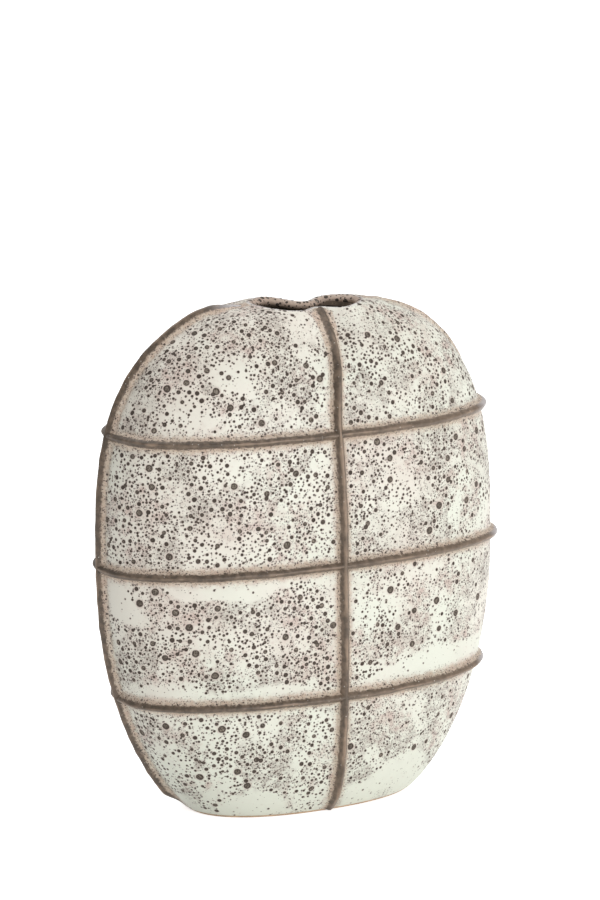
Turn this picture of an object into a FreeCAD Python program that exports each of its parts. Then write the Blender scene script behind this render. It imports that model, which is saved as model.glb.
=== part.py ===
import FreeCAD, Part

import math
import os

from FreeCAD import Vector

# A pillow vase in stoneware: two pressed wall halves on a rebated floor, a collar with
# a mouth that is pinched into two lobes, and a net of clay ribs laid over the walls.
#
# Millimetres. The origin is on the ground under the middle of the foot. +Z is up, the
# front face looks towards -Y, and +X is to the right of someone who faces the front.

# Body
rim_height = 281.8
half_width = 118.5
half_depth = 55.5
widest_height = 144.5
deepest_height = 139.0
foot_half_width = 68.0
foot_half_depth = 36.0
lean = 2.9
lean_bow = 0.4

# How square the outlines are: 2 is an ellipse, and more is boxier
shoulder_power = 2.95
belly_power = 2.14
back_power = 2.5
keel_power = 3.9
front_plan_power = 2.28
back_plan_power = 1.85

# Walls and floor
wall = 6.0
floor_thickness = 7.5
foot_rim_height = 1.8
foot_rim_inset = 0.3
foot_edge_radius = 0.7
foot_land = 9.0
foot_recess = 1.2

# Mouth: an oval collar between the walls, pinched into two lobes
mouth_half_length = 35.0
mouth_half_depth = 20.5
mouth_shift = 7.0
mouth_shift_reach = 5.0
pinch_place = 8.0
pinch_depth = 11.2
pinch_half_width = 9.5
pinch_reach = 36.0
pinch_sink = 2.0
sink_place = 12.0
sink_half_width = 16.0
left_lift = 2.6
left_lift_run = 45.0
lip_trim = 0.3
lip_thickness = 5.0
lip_round = 2.2
collar_margin = 3.0
collar_reach = 40.0
bore_reach = 16.0

# Ribs: a round crest with hollow feet that run out on the wall
rib_height = 4.6
rung_height = 4.2
rib_crest_radius = 2.4
rib_half_width = 6.5
rib_foot_height = 0.4
rib_bedding = 3.0
ground_depth = 50.0
strap_reach = 30.0
strap_spread = 1.4
strap_height = 3.0
face_rib_lean_reach = 60.0
front_rib_end_gap = 1.0
back_rib_end_gap = 7.0
edge_rib_end_gap = 3.0
edge_rib_end_height = 1.2
left_taper_reach = 5.0
right_taper_reach = 60.0
upper_rib_level = 218.5
middle_rib_level = 146.4
lower_rib_level = 71.6
rung_droop_power = 3.0
upper_left_droop = 0.0
upper_right_droop = 1.0
middle_left_droop = 1.0
middle_right_droop = 2.8
lower_left_droop = 0.5
lower_right_droop = -1.0

# How finely the forms are drawn
outline_points = 48
fine_points = 1200
body_sections = 16
cavity_sections = 10
edge_sections = 3
saddle_steps = 16
foot_steps = 2
crest_steps = 3
rib_stations = 16
rung_stations = 12
overrun = 4.0

rib_levels = {"upper": upper_rib_level, "middle": middle_rib_level, "lower": lower_rib_level}
rung_droops = {
    ("upper", "left"): upper_left_droop,
    ("upper", "right"): upper_right_droop,
    ("middle", "left"): middle_left_droop,
    ("middle", "right"): middle_right_droop,
    ("lower", "left"): lower_left_droop,
    ("lower", "right"): lower_right_droop,
}


class Outline:
    """Half the body's size against height: a rounded square that narrows to the foot and to the mouth."""

    def __init__(self, level, full, foot, mouth, upper_power, lower_power):
        self.level = level
        self.full = full
        self.upper_power = upper_power
        self.lower_power = lower_power
        self.upper_reach = (rim_height - level) / self.narrowing(mouth, upper_power)
        self.lower_reach = level / self.narrowing(foot, lower_power)

    def narrowing(self, size, power):
        """The share of its reach at which the outline has narrowed to this size."""
        return (1 - (size / self.full) ** power) ** (1 / power)

    def size_at(self, z):
        if z >= self.level:
            share = (z - self.level) / self.upper_reach
            power = self.upper_power
        else:
            share = (self.level - z) / self.lower_reach
            power = self.lower_power
        return self.full * (1 - share ** power) ** (1 / power)

    def height_at(self, size):
        """The height above the widest level at which the outline has this size."""
        return self.level + self.upper_reach * self.narrowing(size, self.upper_power)

    def points(self, low, high):
        """Many points (size, height) from low to high, closer together towards the top."""
        turns = [math.pi / 2 * i / fine_points for i in range(fine_points + 1)]
        heights = [low + (high - low) * math.sin(turn) for turn in turns]
        return [Vector(self.size_at(z), 0, z) for z in heights]

    def even_heights(self, low, high, count):
        """Heights from low to high at equal steps along the outline."""
        return [p.z for p in even_steps(self.points(low, high), count)] + [high]


class Inset:
    """An outline moved inwards, square to itself, by the thickness of the wall."""

    def __init__(self, outline, thickness):
        self.rows = []
        points = outline.points(0.0, rim_height)
        for a, b in zip(points[:-1], points[1:]):
            along = (b - a).normalize()
            self.rows.append((a + b) / 2 + Vector(-along.z, 0, along.x) * thickness)
        self.top = self.rows[-1].z

    def size_at(self, z):
        rows = self.rows
        k = 1
        while k < len(rows) - 1 and rows[k].z < z:
            k += 1
        share = (z - rows[k - 1].z) / (rows[k].z - rows[k - 1].z)
        return rows[k - 1].x + share * (rows[k].x - rows[k - 1].x)


def even_steps(points, count):
    """A run of points taken again at equal distances along it, without its last point."""
    reached = [0.0]
    for a, b in zip(points[:-1], points[1:]):
        reached.append(reached[-1] + a.distanceToPoint(b))
    chosen = []
    k = 0
    for i in range(count):
        goal = reached[-1] * i / count
        while reached[k + 1] < goal:
            k += 1
        share = (goal - reached[k]) / (reached[k + 1] - reached[k])
        chosen.append(points[k] + (points[k + 1] - points[k]) * share)
    return chosen


def ease(share):
    """A smooth step from 0 to 1."""
    share = min(1.0, max(0.0, share))
    return share * share * (3 - 2 * share)


def near_rim(z, reach):
    """0 below the rim by more than the reach, and 1 at the rim and above it."""
    return ease((z - (rim_height - reach)) / reach)


# Level sections

def plan_power(side):
    """How square the level section is on the front (-1) or the back (1)."""
    return front_plan_power if side < 0 else back_plan_power


def lean_at(z):
    """How far the body's middle stands to the right at height z: the vase leans a little by hand."""
    share = (z - widest_height) / widest_height
    return -lean * share - lean_bow * share ** 2


def shift_at(z):
    """The middle of the level section at height z, which moves over to the mouth near the rim."""
    return lean_at(z) + mouth_shift * near_rim(z, mouth_shift_reach)


def dent_at(x, z):
    """How far the pinch presses the wall in."""
    return pinch_depth * near_rim(z, pinch_reach) * math.exp(-((x - pinch_place) / pinch_half_width) ** 2)


def section_point(angle, length, depth, z):
    """A point of the rounded-square section, pressed in where the mouth is pinched."""
    s = math.sin(angle)
    c = math.cos(angle)
    share = 2 / plan_power(c)
    x = shift_at(z) + length * math.copysign(abs(s) ** share, s)
    y = (depth - dent_at(x, z)) * math.copysign(abs(c) ** share, c)
    return Vector(x, y, z)


def lift_at(x, z):
    """How far the lip and the shoulder under it stand up on the left, less their sinking at the pinch."""
    if z > rim_height:
        return 0.0
    lift = left_lift * ease(-x / left_lift_run)
    sink = pinch_sink * math.exp(-((x - sink_place) / sink_half_width) ** 2)
    return (lift - sink) * near_rim(z, bore_reach)


def moved_out(points, distance):
    """A closed run of points moved outwards, square to itself."""
    moved = []
    for i, p in enumerate(points):
        along = (points[(i + 1) % len(points)] - points[i - 1]).normalize()
        moved.append(p + Vector(-along.y, along.x, 0) * distance)
    return moved


def level_ring(length, depth, z, outset=0.0):
    """Points round the vase at height z, moved outwards by the outset."""
    turns = [2 * math.pi * i / fine_points for i in range(fine_points)]
    ring = even_steps(closed([section_point(turn, length, depth, z) for turn in turns]), fine_points)
    return even_steps(closed(moved_out(ring, outset)), outline_points)


def smooth_wire(points):
    """A closed smooth curve through the points."""
    steps = [i / outline_points for i in range(outline_points + 1)]
    curve = Part.BSplineCurve()
    curve.interpolate(Points=points, Parameters=steps, PeriodicFlag=True)
    return Part.Wire(curve.toShape())


def lifted_wire(ring, z):
    """A ring drawn at height z, raised and lowered as the lip is."""
    return smooth_wire([Vector(p.x, p.y, z + lift_at(p.x, z)) for p in ring])


def closed(points):
    return points + points[:1]


def loft(wires):
    return Part.makeLoft(wires, True, True)


front_outline = Outline(widest_height, half_width, foot_half_width, mouth_half_length,
                        shoulder_power, belly_power)
side_outline = Outline(deepest_height, half_depth, foot_half_depth, mouth_half_depth,
                       back_power, keel_power)
front_inset = Inset(front_outline, wall)
side_inset = Inset(side_outline, wall)


def body_ring(z, outset=0.0):
    return level_ring(front_outline.size_at(z), side_outline.size_at(z), z, outset)


def body_section(z, outset=0.0):
    return lifted_wire(body_ring(z, outset), z)


# The solid forms that the pieces are cut from

def body_form():
    """The outside of the walls, from the ground to the rim and straight up past it."""
    wires = [body_section(z) for z in front_outline.even_heights(0.0, rim_height, body_sections)]
    return loft(wires + [lifted_wire(body_ring(rim_height), rim_height + overrun)])


def cavity_form():
    """The inside of the walls, from below the ground to the roof beside the mouth."""
    top = front_inset.top
    heights = [-overrun] + front_outline.even_heights(0.0, top, cavity_sections)
    return loft([smooth_wire(level_ring(front_inset.size_at(z), side_inset.size_at(z), z)) for z in heights])


def bore_form():
    """The upright hole of the mouth, which flares over the lip's rounding at the rim."""
    turns = [math.pi / 2 * i / edge_sections for i in range(edge_sections + 1)]
    steps = [(rim_height - bore_reach, 0.0)]
    for turn in turns:
        steps.append((rim_height - lip_round * (1 - math.sin(turn)), lip_round * (1 - math.cos(turn))))
    steps.append((rim_height + overrun, lip_round))
    return loft([lifted_wire(body_ring(rim_height, flared - lip_thickness), z) for z, flared in steps])


def saddle_form():
    """The space above the lip: its underside follows the rim's rise and fall."""
    half_length = mouth_half_length + collar_margin
    half_depth_over = mouth_half_depth + collar_margin + overrun
    middle = shift_at(rim_height)
    places = [middle + half_length * (2 * i / saddle_steps - 1) for i in range(saddle_steps + 1)]
    rim = [Vector(x, -half_depth_over, rim_height - lip_trim + lift_at(x, rim_height)) for x in places]
    top = rim_height + 2 * overrun
    curve = Part.BSplineCurve()
    curve.interpolate(Points=rim)
    top_right = Vector(rim[-1].x, -half_depth_over, top)
    top_left = Vector(rim[0].x, -half_depth_over, top)
    corners = [rim[-1], top_right, top_left, rim[0]]
    outline = Part.Wire([curve.toShape()] + [Part.makeLine(a, b) for a, b in zip(corners[:-1], corners[1:])])
    return Part.Face(outline).extrude(Vector(0, 2 * half_depth_over, 0))


def collar_form():
    """An upright oval block round the mouth. Its side is the seam between collar and walls."""
    low = rim_height - collar_reach
    half_length = mouth_half_length + collar_margin
    radius = mouth_half_depth + collar_margin
    right = shift_at(rim_height) + half_length
    left = shift_at(rim_height) - half_length
    front_left = Vector(left + radius, -radius, low)
    front_right = Vector(right - radius, -radius, low)
    back_right = Vector(right - radius, radius, low)
    back_left = Vector(left + radius, radius, low)
    oval = Part.Wire([
        Part.makeLine(front_left, front_right),
        Part.Arc(front_right, Vector(right, 0, low), back_right).toShape(),
        Part.makeLine(back_right, back_left),
        Part.Arc(back_left, Vector(left, 0, low), front_left).toShape(),
    ])
    return Part.Face(oval).extrude(Vector(0, 0, collar_reach + overrun))


def slab(low, high, side=0):
    """A block across the vase between two heights: all of it, or its front (-1) or back (1) half."""
    reach_x = half_width + overrun
    reach_y = half_depth + overrun
    depth = 2 * reach_y if side == 0 else reach_y
    start_y = 0.0 if side > 0 else -reach_y
    return Part.makeBox(2 * reach_x, depth, high - low, Vector(-reach_x, start_y, low))


# Floor

def make_floor(cavity):
    """A rim that the walls stand on, a plug that fills them, and a shallow recess under the middle."""
    turns = [math.pi / 2 * i / edge_sections for i in range(edge_sections + 1)]
    heights = [foot_edge_radius * (1 - math.cos(turn)) for turn in turns]
    drawn_in = [foot_edge_radius * (1 - math.sin(turn)) for turn in turns]
    edge = list(zip(heights, drawn_in)) + [(foot_rim_height, 0.0)]
    rim = loft([body_section(z, -foot_rim_inset - inward) for z, inward in edge])
    plug = cavity.common(slab(foot_rim_height, floor_thickness))
    recess = loft([body_section(z, -foot_land) for z in (0.0, foot_recess)])
    return rim.fuse(plug).cut(recess)


# Ribs

def rib_section(base, along, across, height, spread=1.0):
    """A rib cut across where it stands on the wall: a round crest, hollow feet and a bedded underside."""
    across = (across - along * (across.dot(along) / along.dot(along))).normalize()
    outward = along.cross(across).normalize()
    if outward.dot(Vector(base.x, base.y, 0)) < 0:
        outward = -outward
    crest = rib_crest_radius * spread
    half = rib_half_width * spread
    rise = height / spread - rib_foot_height
    hollow = (half ** 2 + (rise - crest) ** 2 - crest ** 2) / (2 * rise)
    lean = math.asin(half / (crest + hollow))
    foot_turns = [lean * i / foot_steps for i in range(foot_steps + 1)]
    crest_turns = [lean * i / crest_steps for i in range(crest_steps)]
    right = [(crest * math.sin(turn), rise - crest * (1 - math.cos(turn))) for turn in crest_turns]
    for turn in reversed(foot_turns):
        right.append((half - hollow * math.sin(turn), hollow * (1 - math.cos(turn))))
    right.append((half, -rib_foot_height - rib_bedding))
    left = [(-s, up) for s, up in reversed(right[1:])]
    points = [base + across * s + outward * (rib_foot_height + up) for s, up in left + right]
    return Part.makePolygon(closed(points))


def rib_along(path, across, rises, spreads=None):
    """A rib laid on the wall along a path. across holds a direction along the wall for each point."""
    wires = []
    for i, base in enumerate(path):
        along = path[min(len(path) - 1, i + 1)] - path[max(0, i - 1)]
        spread = spreads[i] if spreads else 1.0
        wires.append(rib_section(base, along, across[i], rises[i], spread))
    return loft(wires)


def wall_point(hand, face, turn, z):
    """A point of the wall at height z, from the middle of a face (0) to an end (a right angle)."""
    share = 2 / plan_power(face)
    x = shift_at(z) + hand * front_outline.size_at(z) * math.sin(turn) ** share
    y = face * side_outline.size_at(z) * math.cos(turn) ** share
    return Vector(x, y, z)


def face_point(z, side):
    """The wall's surface under the face rib, which leans into the pinch of the mouth."""
    x = lean_at(z) + (pinch_place - lean_at(rim_height)) * near_rim(z, face_rib_lean_reach)
    power = plan_power(side)
    across = abs(x - shift_at(z)) / front_outline.size_at(z)
    y = (side_outline.size_at(z) - dent_at(x, z)) * (1 - across ** power) ** (1 / power)
    return Vector(x, side * y, z + lift_at(x, z))


def face_rib(side, end_gap):
    """The rib up the middle of the front (-1) or back (1), which flattens into a wide strap at the lip."""
    heights = side_outline.even_heights(0.0, rim_height - end_gap, rib_stations)
    path = [face_point(z, side) for z in heights]
    spreads = [1 + (strap_spread - 1) * near_rim(z, strap_reach) for z in heights]
    rises = [rib_height + (strap_height - rib_height) * near_rim(z, strap_reach) for z in heights]
    return rib_along(path, [Vector(1, 0, 0)] * len(path), rises, spreads)


def edge_point(z, side):
    """The wall's surface at the seam on the right (1) or left (-1)."""
    x = shift_at(z) + side * front_outline.size_at(z)
    return Vector(x, 0, z + lift_at(x, z))


def edge_rib(side, taper_reach):
    """The rib over the seam of the walls on the right (1) or left (-1), which dies away beside the mouth."""
    size = mouth_half_length + edge_rib_end_gap
    heights = front_outline.even_heights(0.0, front_outline.height_at(size), rib_stations)
    path = [edge_point(z, side) for z in heights]
    above = [max(z, widest_height) for z in heights]
    fullness = [ease((front_outline.size_at(z) - size) / taper_reach) for z in above]
    rises = [edge_rib_end_height + (rib_height - edge_rib_end_height) * full for full in fullness]
    return rib_along(path, [Vector(0, 1, 0)] * len(path), rises)


def rung(level, droop, hand, face):
    """A quarter of a level rib, from the middle of a face rib to the middle of an edge rib."""
    turns = [math.pi / 2 * i / fine_points for i in range(fine_points + 1)]
    levels = [level - droop * math.sin(turn) ** rung_droop_power for turn in turns]
    path = even_steps([wall_point(hand, face, turn, z) for turn, z in zip(turns, levels)], rung_stations)
    path.append(wall_point(hand, face, turns[-1], levels[-1]))
    up = [wall_slope(p, hand, face) for p in path]
    return rib_along(path, up, [rung_height] * len(path))


def wall_slope(p, hand, face):
    """The way up the wall at a point of it."""
    across = min(1.0, abs(p.x - shift_at(p.z)) / front_outline.size_at(p.z))
    turn = math.asin(across ** (plan_power(face) / 2))
    above = wall_point(hand, face, turn, p.z + rib_half_width)
    below = wall_point(hand, face, turn, p.z - rib_half_width)
    return above - below


def make_ribs(body):
    """Four upright ribs, trimmed level above the foot, and twelve level ones that run between them."""
    uprights = {
        "front_rib": face_rib(-1, front_rib_end_gap),
        "back_rib": face_rib(1, back_rib_end_gap),
        "left_edge_rib": edge_rib(-1, left_taper_reach),
        "right_edge_rib": edge_rib(1, right_taper_reach),
    }
    ground = slab(-ground_depth, foot_rim_height)
    ribs = {name: rib.cut(body).cut(ground) for name, rib in uprights.items()}
    for (level_name, hand_name), droop in rung_droops.items():
        for face_name, face in (("front", -1), ("back", 1)):
            hand = -1 if hand_name == "left" else 1
            piece = rung(rib_levels[level_name], droop, hand, face).cut(body)
            piece = piece.cut(uprights[f"{face_name}_rib"])
            piece = piece.cut(uprights[f"{hand_name}_edge_rib"])
            ribs[f"{level_name}_rib_{face_name}_{hand_name}"] = piece
    return ribs


def make_collar(shell, collar):
    """The top of the shell inside the oval seam, with the mouth's hole through it and a wavy lip."""
    return shell.common(collar).cut(bore_form()).cut(saddle_form())


def build():
    body = body_form()
    cavity = cavity_form()
    collar = collar_form()
    shell = body.cut(cavity)
    walls = shell.cut(collar)
    pieces = {
        "floor_slab": make_floor(cavity),
        "front_wall": walls.common(slab(foot_rim_height, rim_height + overrun, -1)),
        "back_wall": walls.common(slab(foot_rim_height, rim_height + overrun, 1)),
        "mouth_collar": make_collar(shell, collar),
    }
    pieces.update(make_ribs(body))
    return pieces


os.makedirs("parts", exist_ok=True)
for name, shape in build().items():
    shape.exportStep(f"parts/{name}.step")
    box = shape.BoundBox
    print(name, len(shape.Solids), shape.isValid(), round(shape.Volume),
          [round(v, 1) for v in (box.XMin, box.XMax, box.YMin, box.YMax, box.ZMin, box.ZMax)])
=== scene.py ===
# %% [markdown]
# # A pillow vase in foamed stoneware glaze
# The real vase is built from soft clay: two pressed wall halves, a floor, a collar with a
# pinched mouth, and ribs laid over the walls. One glaze covers all of it. It foams into open
# craters on the walls and runs thin and brown on the crests of the ribs.
#
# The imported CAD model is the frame. Everything here is in metres in its coordinates: +Z is up,
# the front looks towards -Y, and the origin is on the ground under the middle of the foot.

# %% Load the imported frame
import math

import bpy
import numpy as np
from mathutils import Matrix, Vector


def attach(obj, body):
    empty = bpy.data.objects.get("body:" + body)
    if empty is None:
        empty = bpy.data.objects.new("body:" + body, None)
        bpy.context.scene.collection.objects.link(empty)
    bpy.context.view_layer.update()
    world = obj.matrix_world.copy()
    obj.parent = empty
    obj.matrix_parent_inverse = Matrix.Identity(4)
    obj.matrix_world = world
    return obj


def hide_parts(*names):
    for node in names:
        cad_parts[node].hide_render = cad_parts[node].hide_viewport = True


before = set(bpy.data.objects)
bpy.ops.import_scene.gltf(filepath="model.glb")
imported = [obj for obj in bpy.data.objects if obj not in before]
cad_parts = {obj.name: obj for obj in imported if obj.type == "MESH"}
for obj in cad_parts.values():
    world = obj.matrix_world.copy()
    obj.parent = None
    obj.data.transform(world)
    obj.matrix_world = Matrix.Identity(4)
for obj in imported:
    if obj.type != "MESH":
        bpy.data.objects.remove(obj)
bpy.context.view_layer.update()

# %% [markdown]
# ## The sizes of the clay form
# The walls follow one rule: seen from the front and from the side, the vase is a rounded square
# that narrows to the foot and to the mouth. The same rule and the same sizes made the CAD
# solids, so a mesh that is made from them lies on the solids without any fitting.

# %% Sizes, in millimetres
mm = 0.001
rim_height = 281.8
half_width = 118.5
half_depth = 55.5
widest_height = 144.5
deepest_height = 139.0
foot_half_width = 68.0
foot_half_depth = 36.0
lean = 2.9
lean_bow = 0.4
shoulder_power = 2.95
belly_power = 2.14
back_power = 2.5
keel_power = 3.9
plan_power = {-1: 2.28, 1: 1.85}
wall_thickness = 6.0
floor_thickness = 7.5
foot_rim_height = 1.8

# %% Mouth sizes, in millimetres
mouth_half_length = 35.0
mouth_half_depth = 20.5
mouth_shift = 7.0
mouth_shift_reach = 5.0
pinch_place = 8.0
pinch_depth = 11.2
pinch_half_width = 9.5
pinch_reach = 36.0
pinch_sink = 2.0
sink_place = 12.0
sink_half_width = 16.0
left_lift = 2.6
left_lift_run = 45.0
bore_reach = 16.0
lobe_place = -17.0
lobe_half_width = 12.0
lobe_swell = {-1: -0.9, 1: 0.9}

# %% Rib sizes, in millimetres
rib_height = 4.6
rung_height = 4.2
strap_height = 3.0
strap_spread = 1.4
strap_reach = 30.0
face_rib_lean_reach = 60.0
rib_end_gap = {"front": 1.0, "back": 7.0}
edge_rib_end_gap = 3.0
edge_rib_end_height = 1.2
taper_reach = {-1: 5.0, 1: 60.0}
rung_level = {"upper": 218.5, "middle": 146.4, "lower": 71.6}
rung_droop = {"upper": (0.0, 1.0), "middle": (1.0, 2.8), "lower": (0.5, -1.0)}
rung_droop_power = 3.0
rib_half_width = 5.2
crest_half_width = 2.3
strap_lay = -2.0
seam_lay = {-1: 0.0, 1: 2.6}
sides = {"front": -1, "back": 1}

# %% How finely lines and grids are drawn
quarter_turn = math.pi / 2
turn_samples = 6001
line_samples = 4001
coarse = 1
print("one grid point in", coarse, "is kept in each direction")

# %% [markdown]
# ## The wall as a rule
# `wall_point` gives a point of the outside for a side, a turn and a height. The turn runs from
# the left seam (-90 degrees) over the middle of the face to the right seam. The pinch presses
# the wall in, and the lift lets the lip rise on the left and sink at the pinch, as on the
# real vase, where the wet clay was squeezed by hand. At the left lobe a swell lowers the lip in
# front and raises it behind.

# %% The outlines
def ease(share):
    share = np.clip(share, 0.0, 1.0)
    return share * share * (3 - 2 * share)


def grown(start, share):
    """start where the share is 0, and 1 where the share is 1."""
    return start + (1 - start) * share


def make_outline(level, full, foot, mouth, upper_power, lower_power):
    """Half the size of the body at a height, as a function."""
    def narrowing(size, power):
        return (1 - (size / full) ** power) ** (1 / power)

    upper_reach = (rim_height - level) / narrowing(mouth, upper_power)
    lower_reach = level / narrowing(foot, lower_power)

    def size_at(z):
        above = np.clip((z - level) / upper_reach, 0.0, 1.0)
        below = np.clip((level - z) / lower_reach, 0.0, 1.0)
        upper = full * (1 - above ** upper_power) ** (1 / upper_power)
        lower = full * (1 - below ** lower_power) ** (1 / lower_power)
        return np.where(z >= level, upper, lower)

    return size_at


width_at = make_outline(widest_height, half_width, foot_half_width, mouth_half_length,
                        shoulder_power, belly_power)
depth_at = make_outline(deepest_height, half_depth, foot_half_depth, mouth_half_depth,
                        back_power, keel_power)
print("widest", 2 * float(width_at(widest_height)), "mm, deepest", 2 * float(depth_at(deepest_height)), "mm")


# %% Lean, pinch and lift
def near_rim(z, reach):
    """1 at the rim, and 0 from this reach below it."""
    return ease((z - (rim_height - reach)) / reach)


def hump(x, place, reach):
    """A soft bell: 1 at its place, and nearly 0 at twice its reach."""
    return np.exp(-((x - place) / reach) ** 2)


def lean_at(z):
    share = (z - widest_height) / widest_height
    return -lean * share - lean_bow * share ** 2


def shift_at(z):
    return lean_at(z) + mouth_shift * near_rim(z, mouth_shift_reach)


def dent_at(x, z):
    return pinch_depth * near_rim(z, pinch_reach) * hump(x, pinch_place, pinch_half_width)


def lift_at(x, z):
    rise = left_lift * ease(-x / left_lift_run)
    sink = pinch_sink * hump(x, sink_place, sink_half_width)
    return (rise - sink) * near_rim(z, bore_reach)


# %% Points of the wall
def wall_point(side, turn, z):
    share = 2 / plan_power[side]
    across = np.sin(turn)
    forth = np.clip(np.cos(turn), 0.0, None)
    x = shift_at(z) + width_at(z) * np.sign(across) * np.abs(across) ** share
    y = side * (depth_at(z) - dent_at(x, z)) * forth ** share
    swell = lobe_swell[side] * hump(x, lobe_place, lobe_half_width) * near_rim(z, bore_reach)
    return np.stack([x, y, z + lift_at(x, z) + swell * forth], axis=-1)


def even_run(points, values, count):
    """The values at count + 1 places at equal distances along a run of points."""
    steps = np.linalg.norm(np.diff(points, axis=0), axis=1)
    reached = np.concatenate([[0.0], np.cumsum(steps)])
    return np.interp(np.linspace(0.0, reached[-1], count + 1), reached, values)


def even_turns(side, z, count):
    turns = np.linspace(-quarter_turn, quarter_turn, turn_samples)
    return even_run(wall_point(side, turns, np.full_like(turns, z)), turns, count)


def even_heights(low, high, count):
    heights = low + (high - low) * np.sin(np.linspace(0.0, quarter_turn, line_samples))
    outline = np.stack([heights, width_at(heights), depth_at(heights)], axis=-1)
    return even_run(outline, heights, count)


def rung_height_at(level, turn):
    """The height of a level rib round the vase. Each half of it droops a little towards its seam."""
    left, right = rung_droop[level]
    droop = np.where(turn < 0, left, right)
    return rung_level[level] - droop * np.abs(np.sin(turn)) ** rung_droop_power


def face_rib_x(z):
    """The line of the rib up the middle of a face, which leans over to the pinch."""
    end = pinch_place - lean_at(rim_height)
    return lean_at(z) + (end + strap_lay) * near_rim(z, face_rib_lean_reach)


# %% [markdown]
# ## Closed skins from grids
# A glazed panel is a fine grid of points on the wall, with a coarse grid a little way inside it
# and a rim of faces that joins the two. That makes a closed, thin skin with few faces where
# nobody looks. The faces of the rim and the inside are flat shaded, so they don't bend the
# shading of the glaze at the panel's border.

# %% Grid helpers
under_step = 8
no_length = 1e-12


def unit(vectors):
    """The same directions with a length of 1."""
    return vectors / np.maximum(np.linalg.norm(vectors, axis=-1, keepdims=True), no_length)


def grid_normals(points, side):
    """The outward direction at each point of a grid whose rows go up and whose columns go right."""
    right = np.gradient(points, axis=1)
    up = np.gradient(points, axis=0)
    return unit(np.cross(right, up) * -side)


def grid_faces(rows, columns, start, flipped):
    index = start + np.arange(rows * columns).reshape(rows, columns)
    corners = (index[:-1, :-1], index[:-1, 1:], index[1:, 1:], index[1:, :-1])
    quads = np.stack(corners, axis=-1).reshape(-1, 4)
    return quads[:, ::-1] if flipped else quads


def border(rows, columns, start):
    """The grid's outer vertices in order, anticlockwise when rows go up and columns go right."""
    index = start + np.arange(rows * columns).reshape(rows, columns)
    return np.concatenate([index[0, :-1], index[:-1, -1], index[-1, :0:-1], index[:0:-1, 0]])


def stitch(outer, inner, step, flipped):
    """Triangles from a fine border to the coarse border behind it."""
    faces = []
    count = len(inner)
    for k in range(count):
        near, far = inner[k], inner[(k + 1) % count]
        run = [outer[(k * step + i) % len(outer)] for i in range(step + 1)]
        for i in range(step):
            faces.append((run[i + 1], run[i], near if i < step // 2 else far))
        faces.append((run[step // 2], near, far))
    faces = np.array(faces)
    return faces[:, ::-1] if flipped else faces


# %% Mesh from arrays
def mesh_from(name, points, quads, triangles, flat_from):
    """A mesh in metres from points in millimetres. Faces from number flat_from on are flat shaded."""
    mesh = bpy.data.meshes.new(name)
    mesh.vertices.add(len(points))
    mesh.vertices.foreach_set("co", (points * mm).astype(np.float32).ravel())
    corners = np.concatenate([quads.ravel(), triangles.ravel()]).astype(np.int32)
    quad_starts = np.arange(len(quads)) * 4
    starts = np.concatenate([quad_starts, len(quads) * 4 + np.arange(len(triangles)) * 3])
    mesh.loops.add(len(corners))
    mesh.loops.foreach_set("vertex_index", corners)
    mesh.polygons.add(len(starts))
    mesh.polygons.foreach_set("loop_start", starts.astype(np.int32))
    flat = mesh.attributes.new("sharp_face", "BOOLEAN", "FACE")
    flags = np.ones(len(starts), dtype=bool)
    flags[:flat_from] = False
    flat.data.foreach_set("value", flags)
    mesh.update(calc_edges=True)
    mesh.validate()
    return mesh


def put(name, mesh):
    thing = bpy.data.objects.new(name, mesh)
    bpy.context.scene.collection.objects.link(thing)
    return thing


def paint(mesh, name, values):
    """Stores one number for each vertex."""
    layer = mesh.attributes.new(name, "FLOAT", "POINT")
    layer.data.foreach_set("value", np.asarray(values, np.float32).ravel())


def paint_direction(mesh, name, directions):
    layer = mesh.attributes.new(name, "FLOAT_VECTOR", "POINT")
    layer.data.foreach_set("vector", np.asarray(directions, np.float32).ravel())


def skin_from_grid(name, points, side, thickness, values):
    """A closed thin skin. values holds one number for each point of the grid, by attribute name."""
    rows, columns = points.shape[:2]
    normals = grid_normals(points, side)
    under = (points - normals * thickness)[::under_step, ::under_step]
    flipped = side > 0
    outer_count = rows * columns
    under_rows, under_columns = under.shape[:2]
    outer_faces = grid_faces(rows, columns, 0, flipped)
    under_faces = grid_faces(under_rows, under_columns, outer_count, not flipped)
    outer_border = border(rows, columns, 0)
    under_border = border(under_rows, under_columns, outer_count)
    rim = stitch(outer_border, under_border, under_step, flipped)
    vertices = np.concatenate([points.reshape(-1, 3), under.reshape(-1, 3)])
    quads = np.concatenate([outer_faces, under_faces])
    mesh = mesh_from(name, vertices, quads, rim, len(outer_faces))
    hidden = under_rows * under_columns
    paint(mesh, "skin", np.concatenate([np.ones(outer_count), np.zeros(hidden)]))
    paint_direction(mesh, "wall_up", np.concatenate([normals.reshape(-1, 3), np.zeros((hidden, 3))]))
    for key, grid in values.items():
        paint(mesh, key, np.concatenate([grid.ravel(), grid[::under_step, ::under_step].ravel()]))
    return put(name, mesh)


# %% [markdown]
# ## Node helpers
# Shaders and Geometry Nodes are both trees of nodes. These few helpers make a node, set or link
# its inputs, do sums and draw soft noise, so that a tree reads like a short list of steps.

# %% Node helpers
def node(tree, kind, inputs=None, **settings):
    made = tree.nodes.new(kind)
    for key, value in settings.items():
        setattr(made, key, value)
    for key, value in (inputs or {}).items():
        feed(tree, made.inputs[key], value)
    return made


def feed(tree, socket, value):
    if isinstance(value, bpy.types.NodeSocket):
        tree.links.new(value, socket)
    else:
        socket.default_value = value


def calc(tree, operation, first, second=0.0):
    return node(tree, "ShaderNodeMath", {0: first, 1: second}, operation=operation).outputs[0]


def product(tree, *factors):
    total = factors[0]
    for factor in factors[1:]:
        total = calc(tree, "MULTIPLY", total, factor)
    return total


def inverse(tree, share):
    return calc(tree, "SUBTRACT", 1.0, share)


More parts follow.
